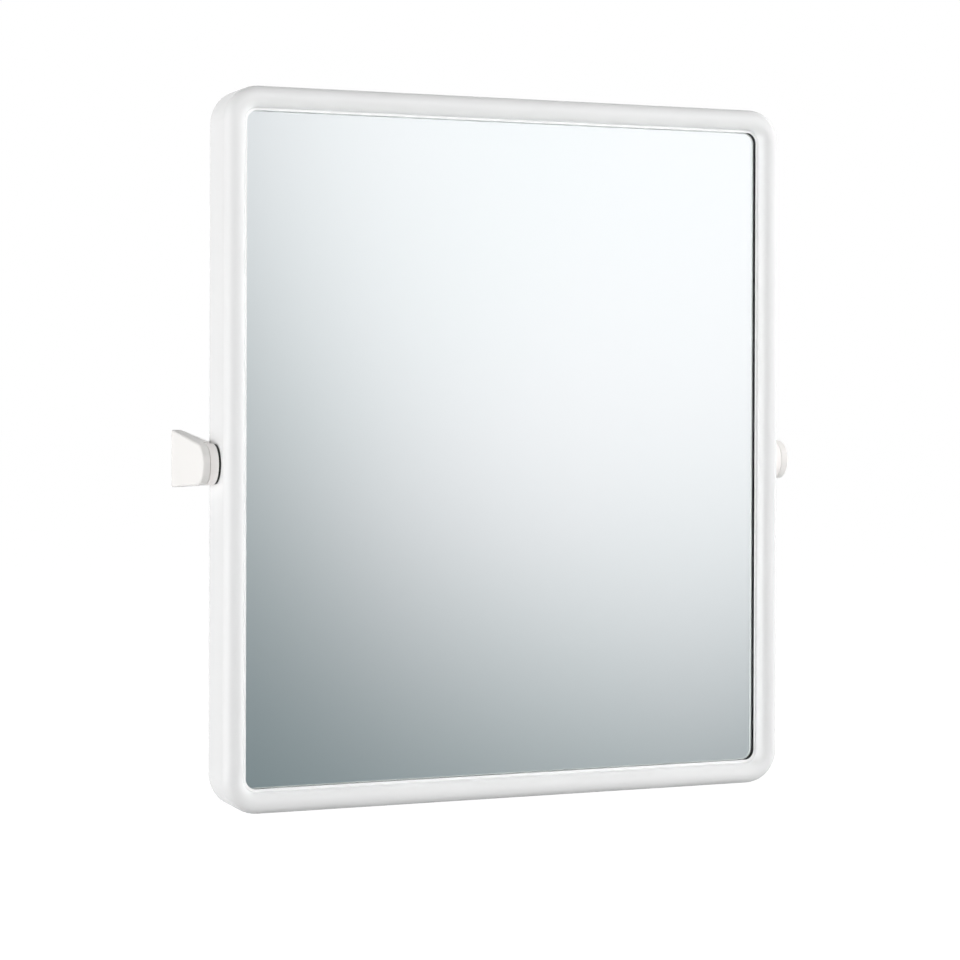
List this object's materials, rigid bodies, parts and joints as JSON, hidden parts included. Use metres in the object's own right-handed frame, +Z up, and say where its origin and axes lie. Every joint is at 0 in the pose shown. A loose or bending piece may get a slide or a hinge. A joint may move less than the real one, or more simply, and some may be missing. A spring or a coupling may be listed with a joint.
{
  "type": "tilting wall mirror",
  "caption": "Wall mirror in a deep white frame with a rolled front edge, tilting on friction pivots between two side brackets.",
  "frame": {"origin": "on the wall plane, midway between the two wall brackets, at the height of the pivot axis, which is the centre of the wall screw pattern", "axes": "+X along the pivot axis to the right as seen from the front, +Y into the wall, +Z up; the glass faces -Y"},
  "size_m": [0.638, 0.125, 0.7],
  "materials": {
    "frame_plastic": "satin white, moulded",
    "cover_plastic": "matt white, moulded",
    "bracket_paint": "satin warm white",
    "disc_plastic": "satin warm white",
    "glass": "clear, polished",
    "silver": "silvered",
    "board": "plain",
    "black_foam": "matt black",
    "black_rubber": "matt black",
    "zinc_plate": "zinc plated",
    "bright_steel": "stainless",
    "spring_steel": "phosphated",
    "nylon": "natural"
  },
  "bodies": {
    "wall_brackets": {"left_arm": "bracket_paint", "right_arm": "bracket_paint", "left_disc": "disc_plastic", "right_disc": "disc_plastic", "left_disc_screws": "zinc_plate", "right_disc_screws": "zinc_plate", "left_friction_washer": "black_rubber", "right_friction_washer": "black_rubber", "left_pivot_bolt": "bright_steel", "right_pivot_bolt": "bright_steel", "left_thrust_washer": "bright_steel", "right_thrust_washer": "bright_steel", "left_disc_springs": "spring_steel", "right_disc_springs": "spring_steel", "left_lock_nut": "bright_steel", "right_lock_nut": "bright_steel"},
    "mirror": {"frame": "frame_plastic", "glazing_tape": "black_foam", "mirror_glass": "glass", "silver_film": "silver", "backing_board": "board", "glass_clips": "zinc_plate", "clip_screws": "zinc_plate", "rear_cover": "cover_plastic", "cover_screws": "zinc_plate", "wall_bumpers": "black_rubber", "left_channel": "zinc_plate", "right_channel": "zinc_plate", "left_bush": "nylon", "right_bush": "nylon"}
  },
  "joints": [
    {"name": "tilt", "type": "hinge", "parent": "wall_brackets", "child": "mirror", "pos_m": [0, -0.0892, 0], "axis": [1, 0, 0], "range_deg": [-10, 11]}
  ]
}
